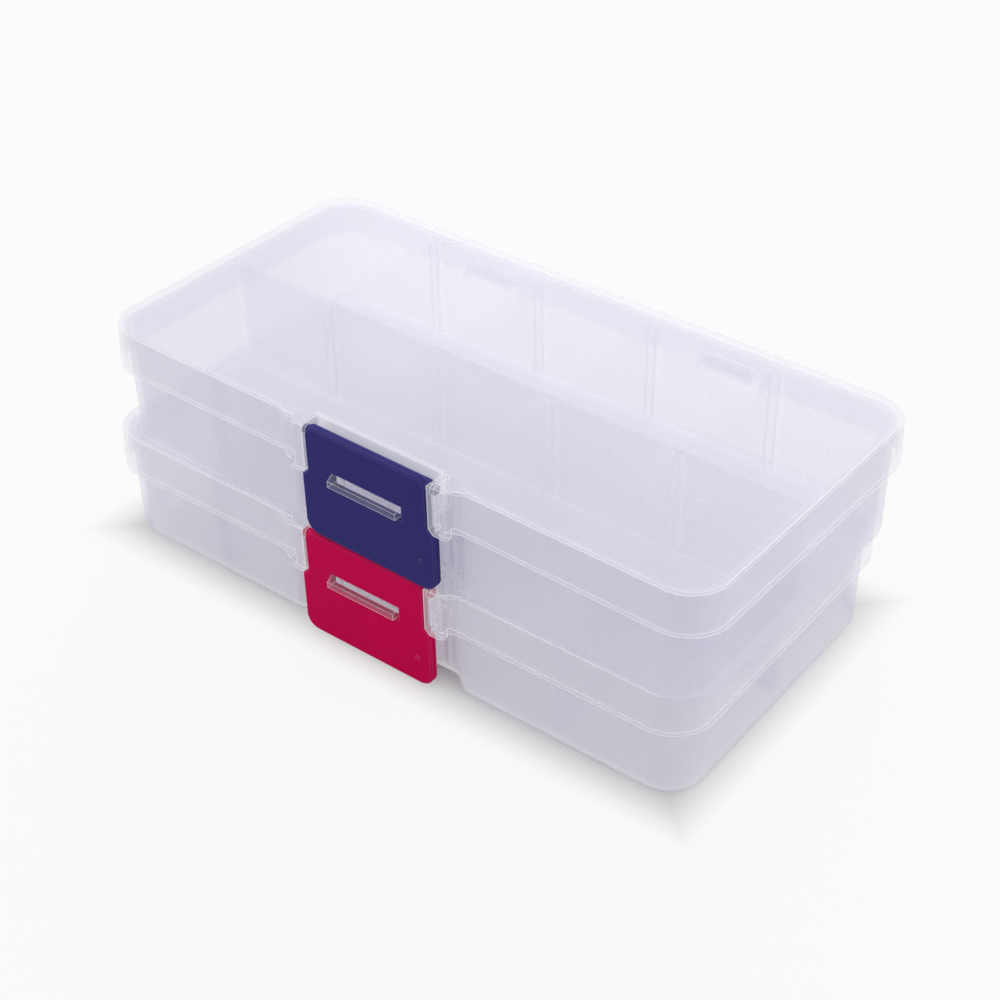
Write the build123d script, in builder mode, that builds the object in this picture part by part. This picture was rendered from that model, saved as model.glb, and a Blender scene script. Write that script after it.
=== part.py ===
import os
from math import atan, cos, degrees, hypot, radians, sin

from build123d import *

# Two small ten-compartment boxes of clear plastic, one standing on the other.
# Each box is a moulded tray with a hinged lid, a coloured latch and eight loose divider plates.
# All sizes are millimetres. Z = 0 is the underside of the lower tray, X runs along the
# hinge side and the latch is on the -Y side.

# Lid
lid_length = 130.0
lid_width = 64.7
lid_corner = 7.65
skirt_height = 8.2
skirt_flare = 0.43
lid_wall = 0.8
lid_panel = 1.0
lid_edge_bevel = 0.4

# Whole box and stack
box_height = 23.1
stack_shift_x = 3.31
stack_shift_y = -0.68
stack_turn = -1.16

# Tray
rim_gap = 0.3
rim_headroom = 0.2
tray_corner = 7.4
tray_wall = 1.1
tray_floor = 1.0
foot_round = 1.2
spine_thickness = 1.0
cut_reach = 1.0

# Recess in the tray's front wall, behind the latch
recess_depth = 2.6
recess_mouth = 37.6
recess_back = 30.0
recess_round = 1.4

# Divider plates and the guide ribs that hold them
column_pitch = 25.87
divider_thickness = 0.9
slide_gap = 0.15
rib_width = 0.6
rib_depth = 1.0
rib_drop = 0.8
divider_foot_bevel = 1.0
divider_top_bevel = 0.3

# Rear hinges
hinge_offset = 27.0
hinge_length = 15.0
hinge_drop = 7.2
hinge_behind = 0.95
rod_radius = 0.9
rod_clearance = 0.07
clip_wall = 0.75
clip_mouth = 1.45
ear_thickness = 1.5
ear_radius = 1.5
ear_foot = 3.4
hinge_side_gap = 0.35
hinge_top_gap = 0.55
ear_slant = 30.0
clip_slant = 37.0

# Latch
latch_top_width = 26.5
latch_width = 29.2
latch_thickness = 1.4
latch_front = 1.45
latch_top_drop = 0.1
latch_foot_gap = 0.7
latch_corner = 2.2
latch_foot_corner = 2.8
latch_edge_bevel = 0.3
latch_shoulder_drop = 10.5
latch_shoulder_slope = 1.3
latch_shoulder_round = 0.6
latch_side_gap = 0.35
pivot_behind = 1.6
pivot_drop = 2.0
head_radius = 1.3
pin_radius = 0.9
pin_clearance = 0.06
pin_length = 1.1
slot_gap = 0.3
slot_drop = 0.7
gate_radius = 0.45
gate_height = 0.25
gate_aside = 11.6
gate_drop = 16.6

# Lid pocket and the two cheeks that carry the latch
cheek_proud = 1.55
cheek_width = 3.7
cheek_blend = 3.2
cheek_drop = 10.0
cheek_round = 0.8
pocket_depth = 2.45
pocket_wall_drop = 7.0

# Catch tongue on the tray, which passes through the latch's slot
tongue_width = 15.0
tongue_top_drop = 7.7
tongue_thickness = 1.9
tongue_slope = 0.7
tongue_proud = 1.2

# Levels and places that follow from the sizes above
rim_level = box_height - lid_panel - rim_headroom
tray_inset = lid_wall + rim_gap
skirt_taper = -degrees(atan(skirt_flare / skirt_height))
front_face = -lid_width / 2
tray_length = lid_length - 2 * tray_inset
tray_width = lid_width - 2 * tray_inset
inner_rear = tray_width / 2 - tray_wall
recess_face = -tray_width / 2 + recess_depth
divider_places = [(column - 1.5) * column_pitch for column in range(4)]
hinge_level = box_height - hinge_drop
hinge_line = lid_width / 2 + hinge_behind
hinge_places = (-hinge_offset, hinge_offset)
latch_face = front_face - latch_front
latch_back = latch_face + latch_thickness
latch_top = box_height - latch_top_drop
shoulder_level = box_height - latch_shoulder_drop
pivot_line = latch_face + pivot_behind
pivot_level = box_height - pivot_drop
cheek_inside = latch_top_width / 2 + latch_side_gap
cheek_outside = cheek_inside + cheek_width
pocket_face = front_face + pocket_depth


def tray_profile(inset):
    """Draws the tray's plan outline, moved in by inset, with the recess for the latch."""
    front = -tray_width / 2
    back = recess_face + inset
    lean = (recess_mouth - recess_back) / 2 / recess_depth
    back_half = recess_back / 2 + inset * (hypot(1, lean) - lean)
    reach = lean * (recess_depth + inset + cut_reach)
    RectangleRounded(tray_length - 2 * inset, tray_width - 2 * inset, tray_corner - inset)
    Polygon(
        (-back_half - reach, front - cut_reach),
        (-back_half, back),
        (back_half, back),
        (back_half + reach, front - cut_reach),
        align=None,
        mode=Mode.SUBTRACT,
    )


def round_recess(sketch):
    """Rounds the four corners of the recess in a tray outline."""
    corners = sketch.vertices().filter_by(lambda v: abs(v.X) < recess_mouth / 2 + tray_wall)
    fillet(corners, recess_round)


def front_inside(place):
    """Gives the inner face of the tray's front wall beside the divider at this place."""
    outside = recess_face if abs(place) < recess_back / 2 else -tray_width / 2
    return outside + tray_wall


def latch_outline():
    """Draws the latch from the front: narrow between the cheeks, wider below them."""
    narrow = latch_top_width / 2
    wide = latch_width / 2
    Polygon(
        (-narrow, latch_top),
        (narrow, latch_top),
        (narrow, shoulder_level + latch_shoulder_slope),
        (wide, shoulder_level),
        (wide, latch_foot_gap),
        (-wide, latch_foot_gap),
        (-wide, shoulder_level),
        (-narrow, shoulder_level + latch_shoulder_slope),
        align=None,
    )


# Tray: drafted walls, the foot's round edge and the open inside
with BuildPart() as tray:
    with BuildSketch() as tray_plan:
        tray_profile(0)
        round_recess(tray_plan)
    extrude(amount=rim_level)
    fillet(tray.faces().sort_by(Axis.Z)[0].edges(), foot_round)
    with BuildSketch(Plane.XY.offset(tray_floor)) as tray_room:
        tray_profile(tray_wall)
        round_recess(tray_room)
    extrude(amount=rim_level - tray_floor, mode=Mode.SUBTRACT)

    # The fixed wall along the middle
    with BuildSketch(Plane.XY.offset(tray_floor)):
        Rectangle(tray_length - tray_wall, spine_thickness)
    extrude(amount=rim_level - tray_floor)

    # Pairs of guide ribs on the front wall, both sides of the middle wall and the rear wall
    with BuildSketch(Plane.XY.offset(tray_floor)):
        for place in divider_places:
            for side in (-1, 1):
                across = place + side * (divider_thickness / 2 + slide_gap + rib_width / 2)
                with Locations((across, 0)):
                    Rectangle(rib_width, spine_thickness + 2 * rib_depth)
                for wall, along in ((front_inside(place), -1), (inner_rear, 1)):
                    with Locations((across, wall - along * (rib_depth - tray_wall / 2) / 2)):
                        Rectangle(rib_width, rib_depth + tray_wall / 2)
    extrude(amount=rim_level - rib_drop - tray_floor)

    # The catch tongue in front of the recess
    with BuildSketch(Plane.YZ.offset(-tongue_width / 2)):
        tongue_top = box_height - tongue_top_drop
        tongue_tip = latch_face - tongue_proud
        Polygon(
            (recess_face + tray_wall / 2, tongue_top),
            (latch_face, tongue_top),
            (tongue_tip, tongue_top - tongue_slope),
            (tongue_tip, tongue_top - tongue_thickness),
            (recess_face + tray_wall / 2, tongue_top - tongue_thickness),
            align=None,
        )
    extrude(amount=tongue_width)

    # Ears and rods of the two rear hinges
    ear_across = ear_radius * sin(radians(ear_slant))
    ear_down = ear_radius * cos(radians(ear_slant))
    for place in hinge_places:
        for side in (-1, 1):
            ear_start = place + side * (hinge_length - ear_thickness) / 2 - ear_thickness / 2
            with BuildSketch(Plane.YZ.offset(ear_start)):
                with Locations((hinge_line, hinge_level)):
                    Circle(ear_radius)
                Polygon(
                    (hinge_line, hinge_level + ear_radius),
                    (tray_width / 2 - tray_wall / 2, hinge_level + ear_radius),
                    (tray_width / 2 - tray_wall / 2, hinge_level - ear_foot),
                    (hinge_line + ear_across, hinge_level - ear_down),
                    align=None,
                )
            extrude(amount=ear_thickness)
        with BuildSketch(Plane.YZ.offset(place - hinge_length / 2)):
            with Locations((hinge_line, hinge_level)):
                Circle(rod_radius)
        extrude(amount=hinge_length)

# Lid: panel and flared skirt, with the bulges that carry the latch
with BuildPart() as lid:
    top = Plane.XY.offset(box_height)
    with BuildSketch(top):
        RectangleRounded(lid_length, lid_width, lid_corner)
    extrude(amount=-skirt_height, taper=skirt_taper)
    with BuildSketch(top) as bulge:
        Polygon(
            (-cheek_outside - cheek_blend, front_face + lid_wall),
            (-cheek_outside - cheek_blend, front_face),
            (-cheek_outside, front_face - cheek_proud),
            (cheek_outside, front_face - cheek_proud),
            (cheek_outside + cheek_blend, front_face),
            (cheek_outside + cheek_blend, front_face + lid_wall),
            align=None,
        )
        fillet(bulge.vertices().group_by(Axis.Y)[0], cheek_round)
    extrude(amount=-skirt_height)
    with BuildSketch(top) as cheeks:
        Polygon(
            (-cheek_outside, front_face + lid_wall),
            (-cheek_outside, front_face - cheek_proud),
            (cheek_outside, front_face - cheek_proud),
            (cheek_outside, front_face + lid_wall),
            align=None,
        )
        fillet(cheeks.vertices().group_by(Axis.Y)[0], cheek_round)
    extrude(amount=-cheek_drop)

    # Open inside of the lid, reaching into the hollow cheeks
    with BuildSketch(top.offset(-lid_panel)):
        RectangleRounded(
            lid_length - 2 * lid_wall, lid_width - 2 * lid_wall, lid_corner - lid_wall
        )
    extrude(amount=-skirt_height, taper=skirt_taper, mode=Mode.SUBTRACT)
    with BuildSketch(top.offset(-lid_panel)):
        for side in (-1, 1):
            Polygon(
                (side * (cheek_inside + lid_wall), front_face + 2 * lid_wall),
                (side * (cheek_inside + lid_wall), front_face - cheek_proud + lid_wall),
                (side * (cheek_outside - lid_wall), front_face - cheek_proud + lid_wall),
                (side * (cheek_outside + cheek_blend - 2 * lid_wall), front_face + 2 * lid_wall),
                align=None,
            )
    extrude(amount=-cheek_drop, mode=Mode.SUBTRACT)

    # Walls round the pocket behind the latch
    with BuildSketch(top):
        with Locations((0, pocket_face + lid_wall)):
            Rectangle(
                2 * (cheek_inside + lid_wall),
                pocket_depth + lid_wall + skirt_flare,
                align=(Align.CENTER, Align.MAX),
            )
    extrude(amount=-pocket_wall_drop)
    with BuildSketch(top):
        with Locations((0, pocket_face)):
            Rectangle(
                2 * cheek_inside,
                pocket_depth + cheek_proud + skirt_flare,
                align=(Align.CENTER, Align.MAX),
            )
    extrude(amount=-cheek_drop, mode=Mode.SUBTRACT)
    with BuildSketch(Plane.XZ.offset(-pocket_face)):
        latch_outline()
        offset(amount=latch_side_gap)
    extrude(amount=pocket_depth + 2 * cheek_proud, mode=Mode.SUBTRACT)

    # Soft top edge all round, down into the pocket
    chamfer(lid.faces().sort_by(Axis.Z)[-1].outer_wire().edges(), lid_edge_bevel)

    # Holes in the cheeks' inner walls for the latch's pins
    with BuildSketch(Plane.YZ.offset(-cheek_inside - lid_wall)):
        with Locations((pivot_line, pivot_level)):
            Circle(pin_radius + pin_clearance)
    extrude(amount=2 * (cheek_inside + lid_wall), mode=Mode.SUBTRACT)

    # Open-mouthed clips that snap over the tray's rods, with room in the skirt for the ears
    clip_radius = rod_radius + rod_clearance + clip_wall
    clip_length = hinge_length - 2 * (ear_thickness + hinge_side_gap)
    clip_across = clip_radius * cos(radians(clip_slant))
    clip_up = clip_radius * sin(radians(clip_slant))
    for place in hinge_places:
        with BuildSketch(Plane.YZ.offset(place - hinge_length / 2 - hinge_side_gap)):
            with Locations((hinge_line, hinge_level + ear_radius + hinge_top_gap)):
                Rectangle(
                    2 * (hinge_behind + ear_radius + skirt_flare),
                    2 * ear_radius + ear_foot,
                    align=(Align.CENTER, Align.MAX),
                )
        extrude(amount=hinge_length + 2 * hinge_side_gap, mode=Mode.SUBTRACT)
        with BuildSketch(Plane.YZ.offset(place - clip_length / 2)):
            with Locations((hinge_line, hinge_level)):
                Circle(clip_radius)
            Polygon(
                (lid_width / 2 - lid_wall, hinge_level + ear_radius + 2 * hinge_top_gap),
                (lid_width / 2, hinge_level + ear_radius + 2 * hinge_top_gap),
                (hinge_line + clip_across, hinge_level + clip_up),
                (hinge_line - clip_radius, hinge_level),
                align=None,
            )
        extrude(amount=clip_length)
        with BuildSketch(Plane.YZ.offset(place - clip_length / 2)):
            with Locations((hinge_line, hinge_level)):
                Circle(rod_radius + rod_clearance)
                Rectangle(clip_mouth, 2 * clip_radius, align=(Align.CENTER, Align.MAX))
        extrude(amount=clip_length, mode=Mode.SUBTRACT)

# Latch: a plate with a rounded head, two side pins and the slot for the tongue
with BuildPart() as latch:
    front = Plane.XZ.offset(-latch_back)
    with BuildSketch(front) as latch_plan:
        latch_outline()
        fillet(latch_plan.vertices().group_by(Axis.Y)[0], latch_foot_corner)
        fillet(latch_plan.vertices().group_by(Axis.Y)[-1], latch_corner)
        steps = latch_plan.vertices().filter_by(
            lambda v: abs(v.Y - shoulder_level - latch_shoulder_slope / 2) < latch_shoulder_slope
        )
        fillet(steps, latch_shoulder_round)
    extrude(amount=latch_thickness)
    outline = latch.faces().sort_by(Axis.Y)[0].edges()
    chamfer(outline, latch_edge_bevel)

    # Slot that the tray's tongue passes through
    with BuildSketch(front):
        slot_top = box_height - tongue_top_drop + slot_gap
        slot_height = slot_gap + tongue_thickness + slot_drop
        with Locations((0, slot_top - slot_height / 2)):
            Rectangle(tongue_width + 2 * slot_gap, slot_height)
    extrude(amount=latch_thickness, mode=Mode.SUBTRACT)

    # Rounded head and the two pins it turns on
    head_half = latch_top_width / 2
    with BuildSketch(Plane.YZ.offset(-head_half + latch_edge_bevel)):
        with Locations((pivot_line, pivot_level)):
            Circle(head_radius)
    extrude(amount=2 * (head_half - latch_edge_bevel))
    with BuildSketch(Plane.YZ.offset(-head_half - pin_length)):
        with Locations((pivot_line, pivot_level)):
            Circle(pin_radius)
    extrude(amount=2 * (head_half + pin_length))

    # Stub left by the moulding gate
    with BuildSketch(Plane.XZ.offset(-latch_face)):
        with Locations((gate_aside, box_height - gate_drop)):
            Circle(gate_radius)
    extrude(amount=gate_height)

# Divider plates: one for each pair of guide ribs
divider_top = rim_level - slide_gap
divider_foot = tray_floor + slide_gap


def make_divider(place, front_end, rear_end):
    """Makes one plate between two walls, standing in its guide ribs."""
    with BuildPart() as plate:
        with BuildSketch(Plane.YZ.offset(place - divider_thickness / 2)) as outline:
            with Locations(((front_end + rear_end) / 2, (divider_top + divider_foot) / 2)):
                Rectangle(rear_end - front_end, divider_top - divider_foot)
            chamfer(outline.vertices().group_by(Axis.Y)[0], divider_foot_bevel)
            chamfer(outline.vertices().group_by(Axis.Y)[-1], divider_top_bevel)
        extrude(amount=divider_thickness)
    return plate.part


box_parts = {"tray": tray.part, "lid": lid.part, "latch": latch.part}
for number, place in enumerate(divider_places, start=1):
    front_gap = front_inside(place) + slide_gap
    spine_gap = spine_thickness / 2 + slide_gap
    box_parts[f"divider_front_{number}"] = make_divider(place, front_gap, -spine_gap)
    box_parts[f"divider_rear_{number}"] = make_divider(place, spine_gap, inner_rear - slide_gap)

# The same box twice: one on the table and one standing on its lid, a little askew
stack = {
    "lower": Location((0, 0, 0)),
    "upper": Location((stack_shift_x, stack_shift_y, box_height), (0, 0, stack_turn)),
}
os.makedirs("parts", exist_ok=True)
for box_name, stand in stack.items():
    for part_name, solid in box_parts.items():
        piece = solid.moved(stand)
        piece.label = f"{box_name}_{part_name}"
        export_step(piece, f"parts/{piece.label}.step")
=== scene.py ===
# %% [markdown]
# # Two small tackle boxes of milky plastic
# One ten-compartment box stands on the lid of another. Both are moulded in thin, milky
# polypropylene, with a coloured snap latch on the front: violet blue above, crimson below.
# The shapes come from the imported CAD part, which already holds every wall, rib, hinge and
# latch at its real size. This lesson gives those shapes their plastic, and sets up the
# camera and the light of a small product studio. Lengths are metres, +Z is up, and the
# latches face -Y.

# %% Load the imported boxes
from math import radians

import bmesh
import bpy
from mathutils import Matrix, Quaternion, Vector

MILLIMETRE = 0.001

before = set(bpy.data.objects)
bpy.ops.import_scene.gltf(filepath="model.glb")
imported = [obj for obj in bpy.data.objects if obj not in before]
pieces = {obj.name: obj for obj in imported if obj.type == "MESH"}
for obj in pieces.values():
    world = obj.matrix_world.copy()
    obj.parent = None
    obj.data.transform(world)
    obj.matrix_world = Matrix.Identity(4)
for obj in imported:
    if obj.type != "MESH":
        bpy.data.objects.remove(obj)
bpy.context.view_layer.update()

# %% [markdown]
# ## Camera
# The photograph looks down at the front right corner from a little over thirty centimetres
# away, closer than a catalogue shot usually is, so the near corner looks larger than the
# far one. The place, the point looked at and the lens were found by matching the outlines of
# both boxes. A track quaternion turns the camera to its aim, and a small turn about the line
# of sight levels it as the photograph is.

# %% Camera at the photograph's viewpoint
camera_place = Vector((169.4, -210.3, 216.3)) * MILLIMETRE
camera_aim = Vector((9.1, -7.0, 23.1)) * MILLIMETRE
camera_roll = radians(-1.05)

lens = bpy.data.cameras.new("studio_camera")
lens.sensor_width = 36.0
lens.lens = 65.9
lens.clip_start = 0.01
camera = bpy.data.objects.new("studio_camera", lens)
bpy.context.scene.collection.objects.link(camera)
camera.location = camera_place
camera.rotation_mode = "QUATERNION"
facing = (camera_aim - camera_place).to_track_quat("-Z", "Y")
camera.rotation_quaternion = facing @ Quaternion((0, 0, 1), camera_roll)
bpy.context.scene.camera = camera
print(f"camera {(camera_aim - camera_place).length:.3f} m from its aim")

# %% [markdown]
# ## Helpers for shader nodes
# Each finish below is a small network of nodes. The first helper adds a node, sets its plain
# values and links its inputs in one call, and the next ones add the two kinds that are used
# most, a calculation and a blend of two colours. That keeps the networks readable. A Mix
# node has number and colour sockets under the same names, so its colour sockets are found
# by their place.


# %% Helper that adds and links a node
def add_node(tree, kind, inputs=None, **settings):
    """Adds a node. inputs maps a socket's name or place to a value or to another socket."""
    node = tree.nodes.new(kind)
    for name, value in settings.items():
        setattr(node, name, value)
    for name, value in (inputs or {}).items():
        if isinstance(value, bpy.types.NodeSocket):
            tree.links.new(value, node.inputs[name])
        else:
            node.inputs[name].default_value = value
    return node


# %% Helpers for calculations and colour blends
COLOUR_A, COLOUR_B, COLOUR_RESULT = 6, 7, 2
BLACK = (0.0, 0.0, 0.0, 1.0)
WHITE = (1.0, 1.0, 1.0, 1.0)


def calculate(tree, operation, *values, clamp=False):
    """Adds a Math node on one to three values and gives its result."""
    inputs = dict(enumerate(values))
    node = add_node(tree, "ShaderNodeMath", inputs, operation=operation, use_clamp=clamp)
    return node.outputs["Value"]


def blend_colours(tree, first, second, share):
    """Gives the first colour at share 0 and the second at share 1."""
    inputs = {COLOUR_A: first, COLOUR_B: second, "Factor": share}
    return add_node(tree, "ShaderNodeMix", inputs, data_type="RGBA").outputs[COLOUR_RESULT]


def toned(colour, strength=1.0):
    """Gives a colour made lighter or darker, with its fourth value for a socket."""
    return (*[min(channel * strength, 1.0) for channel in colour], 1.0)


# %% [markdown]
# ## Shared effects as node groups
# The edges, the skin and the scuffs look alike on every piece, so each effect is built once
# as a node group and placed in every plastic with its own values. A group is started with
# its named inputs and outputs.


# %% Helper that starts a node group
def new_group(name, inputs, outputs):
    """Starts a group. inputs map names to numbers, outputs map names to socket types."""
    group = bpy.data.node_groups.new(name, "ShaderNodeTree")
    for label, value in inputs.items():
        socket = group.interface.new_socket(label, in_out="INPUT", socket_type="NodeSocketFloat")
        socket.default_value = value
    for label, kind in outputs.items():
        group.interface.new_socket(label, in_out="OUTPUT", socket_type=kind)
    return group, group.nodes.new("NodeGroupInput"), group.nodes.new("NodeGroupOutput")


# %% [markdown]
# ## Rounded edges, and their painted highlight
# On the real boxes every rim, rib and corner carries a thin bright line, because a moulded
# edge is slightly round and light that is led along inside the wall leaves there. Bevelling
# each edge of the thin walls would cost many faces. The Bevel shader node instead looks a
# short way round each point and returns the normal that a rounded edge would have. How far
# this normal leans from the true one tells how near the edge is, and that makes the mask.
# The plastics use this mask to paint the bright lines into their colour and glow, as a
# painted highlight.

# %% Node group: rounded edge
edge_group, edge_in, edge_out = new_group(
    "rounded edge",
    {"Radius": 0.4 * MILLIMETRE, "Sharpness": 4.0},
    {"Edge": "NodeSocketFloat", "Normal": "NodeSocketVector"},
)
round_normal = add_node(
    edge_group, "ShaderNodeBevel", {"Radius": edge_in.outputs["Radius"]}, samples=4
).outputs["Normal"]
flat_normal = add_node(edge_group, "ShaderNodeNewGeometry").outputs["Normal"]
likeness = add_node(
    edge_group, "ShaderNodeVectorMath", {0: round_normal, 1: flat_normal}, operation="DOT_PRODUCT"
).outputs["Value"]
lean = calculate(edge_group, "SUBTRACT", 1.0, likeness)
edge_mask = calculate(edge_group, "MULTIPLY", lean, edge_in.outputs["Sharpness"], clamp=True)
edge_group.links.new(edge_mask, edge_out.inputs["Edge"])
edge_group.links.new(round_normal, edge_out.inputs["Normal"])
print("node group:", edge_group.name)

# %% [markdown]
# ## Skin of the moulding
# Polypropylene straight from the mould is satin, not mirror smooth. It has a very fine grain
# from the steel, and soft ripples a few millimetres across where the melt flowed and shrank.
# Two noise patterns at those two sizes make one height, with only a trace of the grain,
# because a stronger one looks like leather. A third, larger pattern gives the faint clouds
# that make milky plastic look deep instead of painted.

# %% Node group: moulded skin
skin_group, skin_in, skin_out = new_group(
    "moulded skin",
    {"Grain Scale": 2600.0, "Ripple Scale": 160.0, "Ripple Share": 0.97, "Cloud Scale": 45.0},
    {"Height": "NodeSocketFloat", "Cloud": "NodeSocketFloat"},
)
skin_place = add_node(skin_group, "ShaderNodeTexCoord").outputs["Object"]


def skin_noise(scale_name, detail):
    scale = skin_in.outputs[scale_name]
    inputs = {"Vector": skin_place, "Scale": scale, "Detail": detail}
    return add_node(skin_group, "ShaderNodeTexNoise", inputs).outputs["Fac"]


height_inputs = {
    "Factor": skin_in.outputs["Ripple Share"],
    "A": skin_noise("Grain Scale", 1.0),
    "B": skin_noise("Ripple Scale", 2.0),
}
skin_height = add_node(skin_group, "ShaderNodeMix", height_inputs).outputs["Result"]
skin_group.links.new(skin_height, skin_out.inputs["Height"])
skin_group.links.new(skin_noise("Cloud Scale", 3.0), skin_out.inputs["Cloud"])
print("node group:", skin_group.name)

# %% [markdown]
# ## Scuffs from handling
# Boxes like these slide over each other and soon pick up hairline scuffs. A noise pattern
# that is stretched far along one direction and cut off near its peaks leaves a few thin
# streaks. A second pattern, broad and soft, decides where they gather.

# %% Node group: hairline scuffs
scuff_group, scuff_in, scuff_out = new_group(
    "hairline scuffs",
    {"Scale": 900.0, "Rarity": 0.66, "Angle": 0.5},
    {"Scuff": "NodeSocketFloat"},
)
streak_stretch = (0.03, 1.0, 0.03)
streak_peak = 0.8
gathering_scale = 30.0

scuff_place = add_node(scuff_group, "ShaderNodeTexCoord").outputs["Object"]
scuff_turn = add_node(
    scuff_group,
    "ShaderNodeVectorRotate",
    {"Vector": scuff_place, "Angle": scuff_in.outputs["Angle"]},
    rotation_type="Z_AXIS",
)
scuff_stretch = add_node(
    scuff_group,
    "ShaderNodeVectorMath",
    {0: scuff_turn.outputs["Vector"], 1: streak_stretch},
    operation="MULTIPLY",
)
streaks = add_node(
    scuff_group,
    "ShaderNodeTexNoise",
    {"Vector": scuff_stretch.outputs["Vector"], "Scale": scuff_in.outputs["Scale"]},
)
peaks = add_node(
    scuff_group,
    "ShaderNodeMapRange",
    {
        "Value": streaks.outputs["Fac"],
        "From Min": scuff_in.outputs["Rarity"],
        "From Max": streak_peak,
    },
)
gathering = add_node(
    scuff_group,
    "ShaderNodeTexNoise",
    {"Vector": scuff_place, "Scale": gathering_scale, "Detail": 1.0},
)
gathered = calculate(
    scuff_group, "MULTIPLY", peaks.outputs["Result"], gathering.outputs["Fac"]
)
scuff_group.links.new(gathered, scuff_out.inputs["Scuff"])
print("node group:", scuff_group.name)

# %% [markdown]
# ## Where the latch works
# Three small places round each latch look unlike the rest. The catch tongue, which comes
# through the latch's slot, is short and solid, so it is much clearer than the walls. The
# tray's wall steps back behind the latch, and its film is thinner in that recess, which
# lightens the shade that the latch casts there: painted light. The pocket in the lid behind
# the latch is open at the top, and its wall is painted white and made to glow, a painted
# glow that stands in for the light the lid's panel leads into it. All three lie in the middle
# of the front, so comparisons on the Object coordinates pick them out. The upper box stands
# a little to one side, which its height tells.

# %% Helper that masks a place in the middle of the front
stack_level = 23.3 * MILLIMETRE
upper_box_aside = 2.7 * MILLIMETRE


def middle_of_front(tree, nearest, furthest, half_width):
    """Gives 1 where -Y lies between two distances and X is close to that box's middle."""
    place = add_node(tree, "ShaderNodeTexCoord").outputs["Object"]
    along = add_node(tree, "ShaderNodeSeparateXYZ", {0: place}).outputs
    on_upper_box = calculate(tree, "GREATER_THAN", along["Z"], stack_level)
    middle = calculate(tree, "MULTIPLY", on_upper_box, upper_box_aside)
    sideways = calculate(tree, "COMPARE", along["X"], middle, half_width)
    centre = -(nearest + furthest) / 2
    forward = calculate(tree, "COMPARE", along["Y"], centre, (furthest - nearest) / 2)
    return calculate(tree, "MULTIPLY", sideways, forward)


# %% Masks for the lid's pocket wall, the tray's recess and its tongue
def pocket_wall(tree):
    """Gives 1 on the wall behind the latch, and 0 on level faces and side walls."""
    normal = add_node(tree, "ShaderNodeTexCoord").outputs["Normal"]
    facing = add_node(tree, "ShaderNodeSeparateXYZ", {0: normal}).outputs["Y"]
    pocket = middle_of_front(tree, 29.3 * MILLIMETRE, 31.4 * MILLIMETRE, 13.8 * MILLIMETRE)
    return calculate(tree, "MULTIPLY", pocket, calculate(tree, "ABSOLUTE", facing))


def tray_recess(tree):
    """Gives 1 on the tray's wall behind the latch."""
    return middle_of_front(tree, 27.3 * MILLIMETRE, 31.55 * MILLIMETRE, 18 * MILLIMETRE)


def catch_tongue(tree):
    """Gives 1 on the part of the tongue that comes through the latch."""
    return middle_of_front(tree, 31.6 * MILLIMETRE, 37 * MILLIMETRE, 9 * MILLIMETRE)


# %% [markdown]
# ## Milky polypropylene
# Unfilled polypropylene is neither glass nor paint: each wall lets most of the light through
# and turns the rest into a soft white veil. Where walls overlap the veils add up, so the
# boxes look denser low down and at the corners, but never black. A refracting glass shader
# darkens with every wall that a ray crosses, which this stack of twelve walls shows badly.
# A film of milk white with an alpha value behaves as the real plastic does.
#
# Its colour is a little cloudy. Along the edges and on the wall of the lid's pocket it is
# painted white and gives off a faint light: a painted highlight and glow that stand in for
# light leaving the wall there.

# %% Milk colour, with a painted highlight and glow where light leaves the walls
cloud_tones = (0.96, 1.03)


def painted_light_places(tree, edge, painted_pocket_glow):
    """Gives how much painted highlight and glow each point gets: the edges, and the pocket wall.
    """
    if not painted_pocket_glow:
        return edge
    # Painted glow on the wall of the lid's pocket behind the latch.
    pocket = calculate(tree, "MULTIPLY", pocket_wall(tree), painted_pocket_glow)
    return calculate(tree, "MAXIMUM", edge, pocket)


def colour_milk(tree, shader, milk, cloud, painted_light_share, painted_glow_strength):
    darker, lighter = [toned(milk, tone) for tone in cloud_tones]
    clouded = blend_colours(tree, darker, lighter, cloud)
    # Painted highlight and glow: the colour turns white and gives off light where
    # painted_light_share is 1.
    tree.links.new(blend_colours(tree, clouded, WHITE, painted_light_share), shader.inputs["Base Color"])
    tree.links.new(blend_colours(tree, BLACK, WHITE, painted_light_share), shader.inputs["Emission Color"])
    shader.inputs["Emission Strength"].default_value = painted_glow_strength


# %% [markdown]
# How dense the film is decides how much shows through it. Seen at a flat angle a wall is
# thicker for the eye, so Layer Weight raises the alpha there. The painted edge highlights and
# the scuffs add to it. On the trays the tongue gets a thinner film of its own and strong
# painted edge highlights, and the recess a thinner film that lightens its shade as painted
# light.

# %% Density of the film
slope_blend = 0.35
scuff_film = 0.04


def film_in_place(tree, film, place, film_there):
    """Changes one film into another where the mask of a place is 1."""
    inputs = {"Factor": place, "A": film, "B": film_there}
    return add_node(tree, "ShaderNodeMix", inputs).outputs["Result"]


def film_density(tree, film, slope_film, edge_film, painted_light_share, scuff, films_at_latch):
    slope = add_node(tree, "ShaderNodeLayerWeight", {"Blend": slope_blend}).outputs["Facing"]
    by_slope = {"Value": slope, "To Min": film, "To Max": film + slope_film}
    film = add_node(tree, "ShaderNodeMapRange", by_slope).outputs["Result"]
    if films_at_latch:
        tongue = catch_tongue(tree)
        # A thinner film in the recess lightens the shade that the latch casts there: painted
        # light.
        film = film_in_place(tree, film, tray_recess(tree), films_at_latch["recess"])
        film = film_in_place(tree, film, tongue, films_at_latch["tongue"])
        edge_film = film_in_place(tree, edge_film, tongue, films_at_latch["tongue edges"])
    with_edges = calculate(tree, "MULTIPLY_ADD", painted_light_share, edge_film, film)
    return calculate(tree, "MULTIPLY_ADD", scuff, scuff_film, with_edges, clamp=True)


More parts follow.
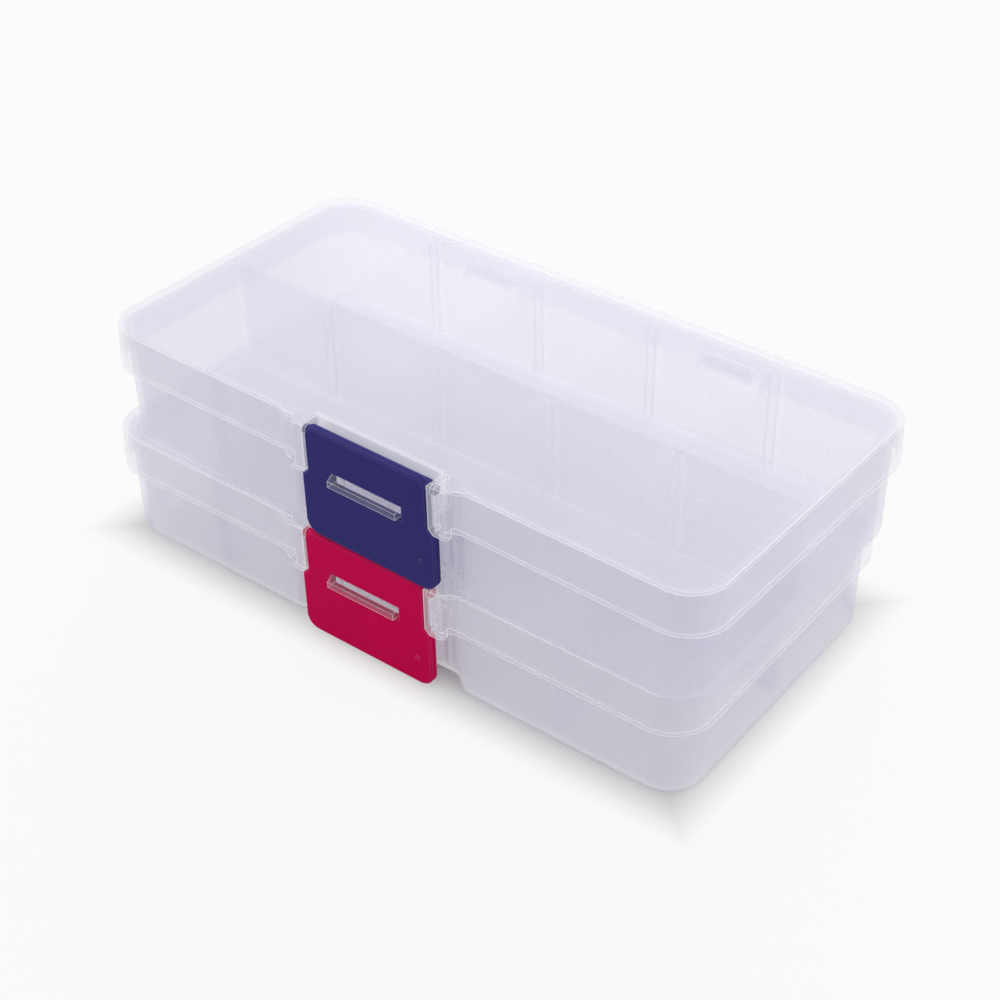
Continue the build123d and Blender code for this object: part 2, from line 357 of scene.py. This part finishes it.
# %% [markdown]
# The milk scatters most of the light onward instead of stopping it, so light on its way
# through a wall has to meet a much thinner film. Light Path picks that film twice: for
# shadow rays, which only lose a share of their light, and for light that has already
# bounced, which sees a thin haze.

# %% Thin film for light on its way through
shade = 0.17


def let_light_through(tree, shader, milk):
    path = add_node(tree, "ShaderNodeLightPath").outputs
    clear = add_node(tree, "ShaderNodeBsdfTransparent").outputs["BSDF"]
    haze = add_node(tree, "ShaderNodeBsdfDiffuse", {"Color": toned(milk)}).outputs["BSDF"]
    thin_film = add_node(tree, "ShaderNodeMixShader", {0: shade, 1: clear, 2: haze})
    for_bounced_light = add_node(
        tree,
        "ShaderNodeMixShader",
        {0: path["Is Diffuse Ray"], 1: shader.outputs["BSDF"], 2: thin_film.outputs["Shader"]},
    )
    dimmed = add_node(tree, "ShaderNodeBsdfTransparent", {"Color": toned(WHITE[:3], 1 - shade)})
    for_lamps = add_node(
        tree,
        "ShaderNodeMixShader",
        {
            0: path["Is Shadow Ray"],
            1: for_bounced_light.outputs["Shader"],
            2: dimmed.outputs["BSDF"],
        },
    )
    tree.links.new(for_lamps.outputs["Shader"], tree.nodes["Material Output"].inputs["Surface"])


# %% [markdown]
# The whole material joins these steps and adds the satin gloss. A small bump from the skin
# breaks the reflections, on top of the rounded normal of the edges.

# %% Material: milky plastic
polypropylene_ior = 1.49
bump_depth = 0.05 * MILLIMETRE
gloss_spread = 0.06


def start_plastic(name, edge_reach):
    """Starts a material with the three shared effects in it."""
    material = bpy.data.materials.new(name)
    material.use_nodes = True
    tree = material.node_tree
    shader = tree.nodes["Principled BSDF"]
    shader.inputs["IOR"].default_value = polypropylene_ior
    edge = add_node(tree, "ShaderNodeGroup", {"Radius": edge_reach}, node_tree=edge_group)
    skin = add_node(tree, "ShaderNodeGroup", node_tree=skin_group)
    scuff = add_node(tree, "ShaderNodeGroup", node_tree=scuff_group).outputs["Scuff"]
    return material, tree, shader, edge.outputs, skin.outputs, scuff


def bump_skin(tree, shader, edge, skin, strength):
    inputs = {
        "Height": skin["Height"],
        "Normal": edge["Normal"],
        "Strength": strength,
        "Distance": bump_depth,
    }
    bump = add_node(tree, "ShaderNodeBump", inputs)
    tree.links.new(bump.outputs["Normal"], shader.inputs["Normal"])


def milky_plastic(
    name,
    milk,
    film,
    slope_film,
    edge_film,
    painted_glow_strength,
    edge_reach,
    roughness,
    painted_pocket_glow=0.0,
    films_at_latch=None,
):
    material, tree, shader, edge, skin, scuff = start_plastic(name, edge_reach)
    painted_light_share = painted_light_places(tree, edge["Edge"], painted_pocket_glow)
    colour_milk(tree, shader, milk, skin["Cloud"], painted_light_share, painted_glow_strength)
    density = film_density(tree, film, slope_film, edge_film, painted_light_share, scuff, films_at_latch)
    tree.links.new(density, shader.inputs["Alpha"])
    by_cloud = {"Value": skin["Cloud"], "To Min": roughness, "To Max": roughness + gloss_spread}
    gloss = add_node(tree, "ShaderNodeMapRange", by_cloud).outputs["Result"]
    tree.links.new(gloss, shader.inputs["Roughness"])
    bump_skin(tree, shader, edge, skin, strength=0.05)
    let_light_through(tree, shader, milk)
    return material


# %% [markdown]
# Three pieces of each box are milky. The lids are the clearest and glossiest, with bright
# painted edge highlights and a painted glow on the pocket wall. The trays are a little greyer
# and denser, and their edges lie behind the lids, so their painted highlights are kept faint.
# The divider plates are so thin that they almost vanish.

# %% Three milky plastics
lid_plastic = milky_plastic(
    "milky_lid_plastic",
    milk=(0.87, 0.86, 0.95),
    film=0.23,
    slope_film=0.12,
    edge_film=0.45,
    painted_glow_strength=0.5,
    edge_reach=0.38 * MILLIMETRE,
    roughness=0.2,
    painted_pocket_glow=0.6,
)
tray_plastic = milky_plastic(
    "milky_tray_plastic",
    milk=(0.80, 0.78, 0.905),
    film=0.28,
    slope_film=0.03,
    edge_film=0.06,
    painted_glow_strength=0.3,
    edge_reach=0.32 * MILLIMETRE,
    roughness=0.36,
    films_at_latch={"recess": 0.14, "tongue": 0.08, "tongue edges": 0.6},
)
divider_plastic = milky_plastic(
    "milky_divider_plastic",
    milk=(0.83, 0.82, 0.92),
    film=0.07,
    slope_film=0.0,
    edge_film=0.05,
    painted_glow_strength=0.2,
    edge_reach=0.3 * MILLIMETRE,
    roughness=0.36,
)
print("materials:", lid_plastic.name, tray_plastic.name, divider_plastic.name)

# %% [markdown]
# ## Coloured latch plastic
# The latches are the same kind of plastic with so much pigment that no light comes through.
# Their faces are even and satin, with hardly any mirroring. What gives them their shape in
# the photograph is the thin pale rim, where the rounded edge catches the bright room, so the
# edge mask paints the colour lighter there, a painted highlight. The moulder's gate left a
# small stub near one lower corner, which the CAD latch already has.

# %% Material: pigmented plastic
pigment_tones = (0.9, 1.1)
latch_mirroring = 0.02
scuff_dullness = 0.2


def pigmented_plastic(name, pigment, rim_highlight_colour, roughness):
    material, tree, shader, edge, skin, scuff = start_plastic(name, 0.3 * MILLIMETRE)
    shader.inputs["Specular IOR Level"].default_value = latch_mirroring
    darker, lighter = [toned(pigment, tone) for tone in pigment_tones]
    clouded = blend_colours(tree, darker, lighter, skin["Cloud"])
    # Painted highlight: the pigment turns to the rim highlight colour where the edge mask is.
    painted_rim_colour = blend_colours(tree, clouded, toned(rim_highlight_colour), edge["Edge"])
    tree.links.new(painted_rim_colour, shader.inputs["Base Color"])
    gloss = calculate(tree, "MULTIPLY_ADD", scuff, scuff_dullness, roughness)
    tree.links.new(gloss, shader.inputs["Roughness"])
    bump_skin(tree, shader, edge, skin, strength=0.2)
    return material


violet_latch = pigmented_plastic(
    "violet_blue_latch_plastic", (0.036, 0.032, 0.168), (0.17, 0.16, 0.45), roughness=0.4
)
crimson_latch = pigmented_plastic(
    "crimson_latch_plastic", (0.60, 0.001, 0.078), (0.85, 0.12, 0.32), roughness=0.4
)
print("materials:", violet_latch.name, crimson_latch.name)

# %% [markdown]
# ## Plastic for every piece
# The CAD pieces keep their meshes and only change their finish. Their names say what they
# are, so the finish is chosen by the word in the name.

# %% Give each piece its plastic
finishes = {"lid": lid_plastic, "tray": tray_plastic, "divider": divider_plastic}
latch_finishes = {"upper": violet_latch, "lower": crimson_latch}
for name, piece in pieces.items():
    box_name, part_name = name.split("_")[:2]
    finish = latch_finishes[box_name] if part_name == "latch" else finishes[part_name]
    piece.data.materials.clear()
    piece.data.materials.append(finish)
print("finished pieces:", sum(1 for piece in pieces.values() if piece.data.materials[0]))

# %% [markdown]
# ## Studio
# The boxes stand on a wide table in an evenly bright room. Milky plastic shows whatever is
# round it, so the room matters more than the lamps and gives most of the light. A white room
# would wash the boxes out if it also lit them, so table and room show white only to rays
# that look at them straight, in a reflection or through the plastic.


# %% Helper for light that is only seen
def seen_directly(tree):
    """Gives 1 where a ray comes from the camera, a reflection or a refraction."""
    path = add_node(tree, "ShaderNodeLightPath").outputs
    seen = calculate(tree, "MAXIMUM", path["Is Camera Ray"], path["Is Glossy Ray"])
    return calculate(tree, "MAXIMUM", seen, path["Is Transmission Ray"])


# %% [markdown]
# ## Table
# The table is one large square of pale paint, which keeps the boxes' soft shadow. Its white
# glow fades out under the boxes. There the real table is dark, and a glow would shine up
# through the plastic. The fade follows a rectangle a little smaller than the boxes: the
# distance past its sides is the larger of the distances past it along X and along Y.

# %% Table top
table_half = 3.0
table_mesh = bpy.data.meshes.new("table")
table_shape = bmesh.new()
bmesh.ops.create_grid(table_shape, x_segments=1, y_segments=1, size=table_half)
table_shape.to_mesh(table_mesh)
table_shape.free()
table = bpy.data.objects.new("table", table_mesh)
bpy.context.scene.collection.objects.link(table)
print("table", 2 * table_half, "m across")

# %% White table paint
table_paint = bpy.data.materials.new("white_table")
table_paint.use_nodes = True
tree = table_paint.node_tree
paint = tree.nodes["Principled BSDF"]
paint.inputs["Base Color"].default_value = (0.6, 0.6, 0.6, 1.0)
paint.inputs["Roughness"].default_value = 0.9
table_mesh.materials.append(table_paint)

# %% Glow round the boxes
glow_around = 0.9
stand_half_size = (65 * MILLIMETRE, 34 * MILLIMETRE, 0.0)
fade_start = -8 * MILLIMETRE
fade_end = 6 * MILLIMETRE

table_place = add_node(tree, "ShaderNodeTexCoord").outputs["Object"]
either_side = add_node(tree, "ShaderNodeVectorMath", {0: table_place}, operation="ABSOLUTE")
past_stand = add_node(
    tree,
    "ShaderNodeVectorMath",
    {0: either_side.outputs["Vector"], 1: stand_half_size},
    operation="SUBTRACT",
)
past = add_node(tree, "ShaderNodeSeparateXYZ", {0: past_stand.outputs["Vector"]}).outputs
glow_share = add_node(
    tree,
    "ShaderNodeMapRange",
    {
        "Value": calculate(tree, "MAXIMUM", past["X"], past["Y"]),
        "From Min": fade_start,
        "From Max": fade_end,
        "To Min": 0.0,
        "To Max": glow_around,
    },
    interpolation_type="SMOOTHSTEP",
)
glow_amount = calculate(tree, "MULTIPLY", seen_directly(tree), glow_share.outputs["Result"])
glow = add_node(tree, "ShaderNodeEmission", {"Strength": 1.0}).outputs["Emission"]
table_mix = add_node(
    tree, "ShaderNodeMixShader", {0: glow_amount, 1: paint.outputs["BSDF"], 2: glow}
)
tree.links.new(table_mix.outputs["Shader"], tree.nodes["Material Output"].inputs["Surface"])
print("glow fades from", fade_start, "to", fade_end, "m past the boxes' stand")

# %% [markdown]
# ## Room
# The world is the room: an even white that gives the boxes a little less light than it
# seems to have.

# %% Bright room
room_light = 0.72
room_seen = 1.0

room = bpy.data.worlds.new("bright_room")
room.use_nodes = True
bpy.context.scene.world = room
tree = room.node_tree
strength = add_node(
    tree, "ShaderNodeMix", {"Factor": seen_directly(tree), "A": room_light, "B": room_seen}
)
background = tree.nodes["Background"].inputs
background["Color"].default_value = WHITE
tree.links.new(strength.outputs["Result"], background["Strength"])
print("room light", room_light, "and seen as", room_seen)

# %% [markdown]
# ## Softboxes
# In the photograph the lids are the brightest faces, more so towards the rear. A softbox
# above lights them, and a wide dim panel behind is mirrored in the upper one. One more
# behind and one low at each end brighten the walls. These three are small and strong, and
# their reflections would bleach a lid seen from a low angle, so the gloss doesn't mirror
# them.

# %% Softboxes round the table
box_middle = Vector((0.0, 0.0, 0.03))


def softbox(name, place, width, height, watts, mirrored):
    lamp = bpy.data.lights.new(name, "AREA")
    lamp.shape = "RECTANGLE"
    lamp.size = width
    lamp.size_y = height
    lamp.energy = watts
    holder = bpy.data.objects.new(name, lamp)
    bpy.context.scene.collection.objects.link(holder)
    holder.visible_glossy = mirrored
    holder.location = place
    holder.rotation_euler = (box_middle - Vector(place)).to_track_quat("-Z", "Y").to_euler()
    print(name, watts, "W")


softbox("softbox_above", (0.0, 0.15, 1.1), 0.9, 0.7, watts=1.8, mirrored=True)
softbox("softbox_behind", (-0.38, 0.87, 0.45), 0.6, 0.25, watts=2.4, mirrored=False)
softbox("sheen_panel", (-0.36, 0.82, 0.47), 0.7, 0.3, watts=1.55, mirrored=True)
softbox("softbox_left", (-0.42, -0.28, 0.08), 0.3, 0.15, watts=0.4, mirrored=False)
softbox("softbox_right", (0.6, 0.1, 0.1), 0.4, 0.2, watts=0.5, mirrored=False)

# %% [markdown]
# ## Render settings that belong to the scene
# Twelve walls one behind the other, each with two faces, need more see-through steps than
# Blender's default, or the deepest ones would come out black. The Standard view keeps
# colours as they are written.

# %% See-through depth and view
bpy.context.scene.cycles.transparent_max_bounces = 48
bpy.context.scene.view_settings.view_transform = "Standard"
